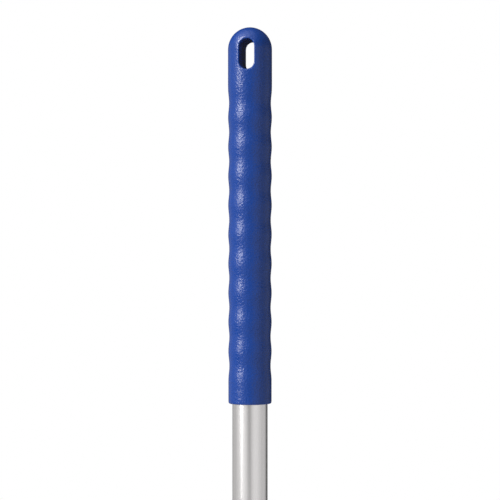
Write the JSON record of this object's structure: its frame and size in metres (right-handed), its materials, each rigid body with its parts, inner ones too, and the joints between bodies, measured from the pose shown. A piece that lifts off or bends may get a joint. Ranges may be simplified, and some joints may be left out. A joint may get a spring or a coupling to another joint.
{
  "type": "pole handle",
  "caption": "Straight aluminium pole with a rippled moulded grip, a hanging slot through the grip's rounded top and a splined push-fit end sleeve with a barbed collar.",
  "frame": {"origin": "on the pole's axis, at the centre of the lowest end face, which is the foot of the end sleeve", "axes": "+Z along the pole from the end sleeve to the grip; the hanging slot runs through the grip along Y; the sleeve's slit faces -Y and its rivet +Y"},
  "size_m": [0.0324, 0.0321, 1.22],
  "materials": {
    "grip_blue": "satin, fine leathery grain",
    "tube_anodised": "satin, drawn along the pole, clear anodised",
    "sleeve_charcoal": "satin, pitted grain",
    "stopper_natural": "matt",
    "rivet_alloy": "satin",
    "mandrel_steel": "plain"
  },
  "bodies": {
    "root": {"handle_grip": "grip_blue", "pole_tube": "tube_anodised", "end_sleeve": "sleeve_charcoal", "end_plug": "sleeve_charcoal", "tube_stopper": "stopper_natural", "rivet_body": "rivet_alloy", "rivet_mandrel": "mandrel_steel"}
  },
  "joints": []
}
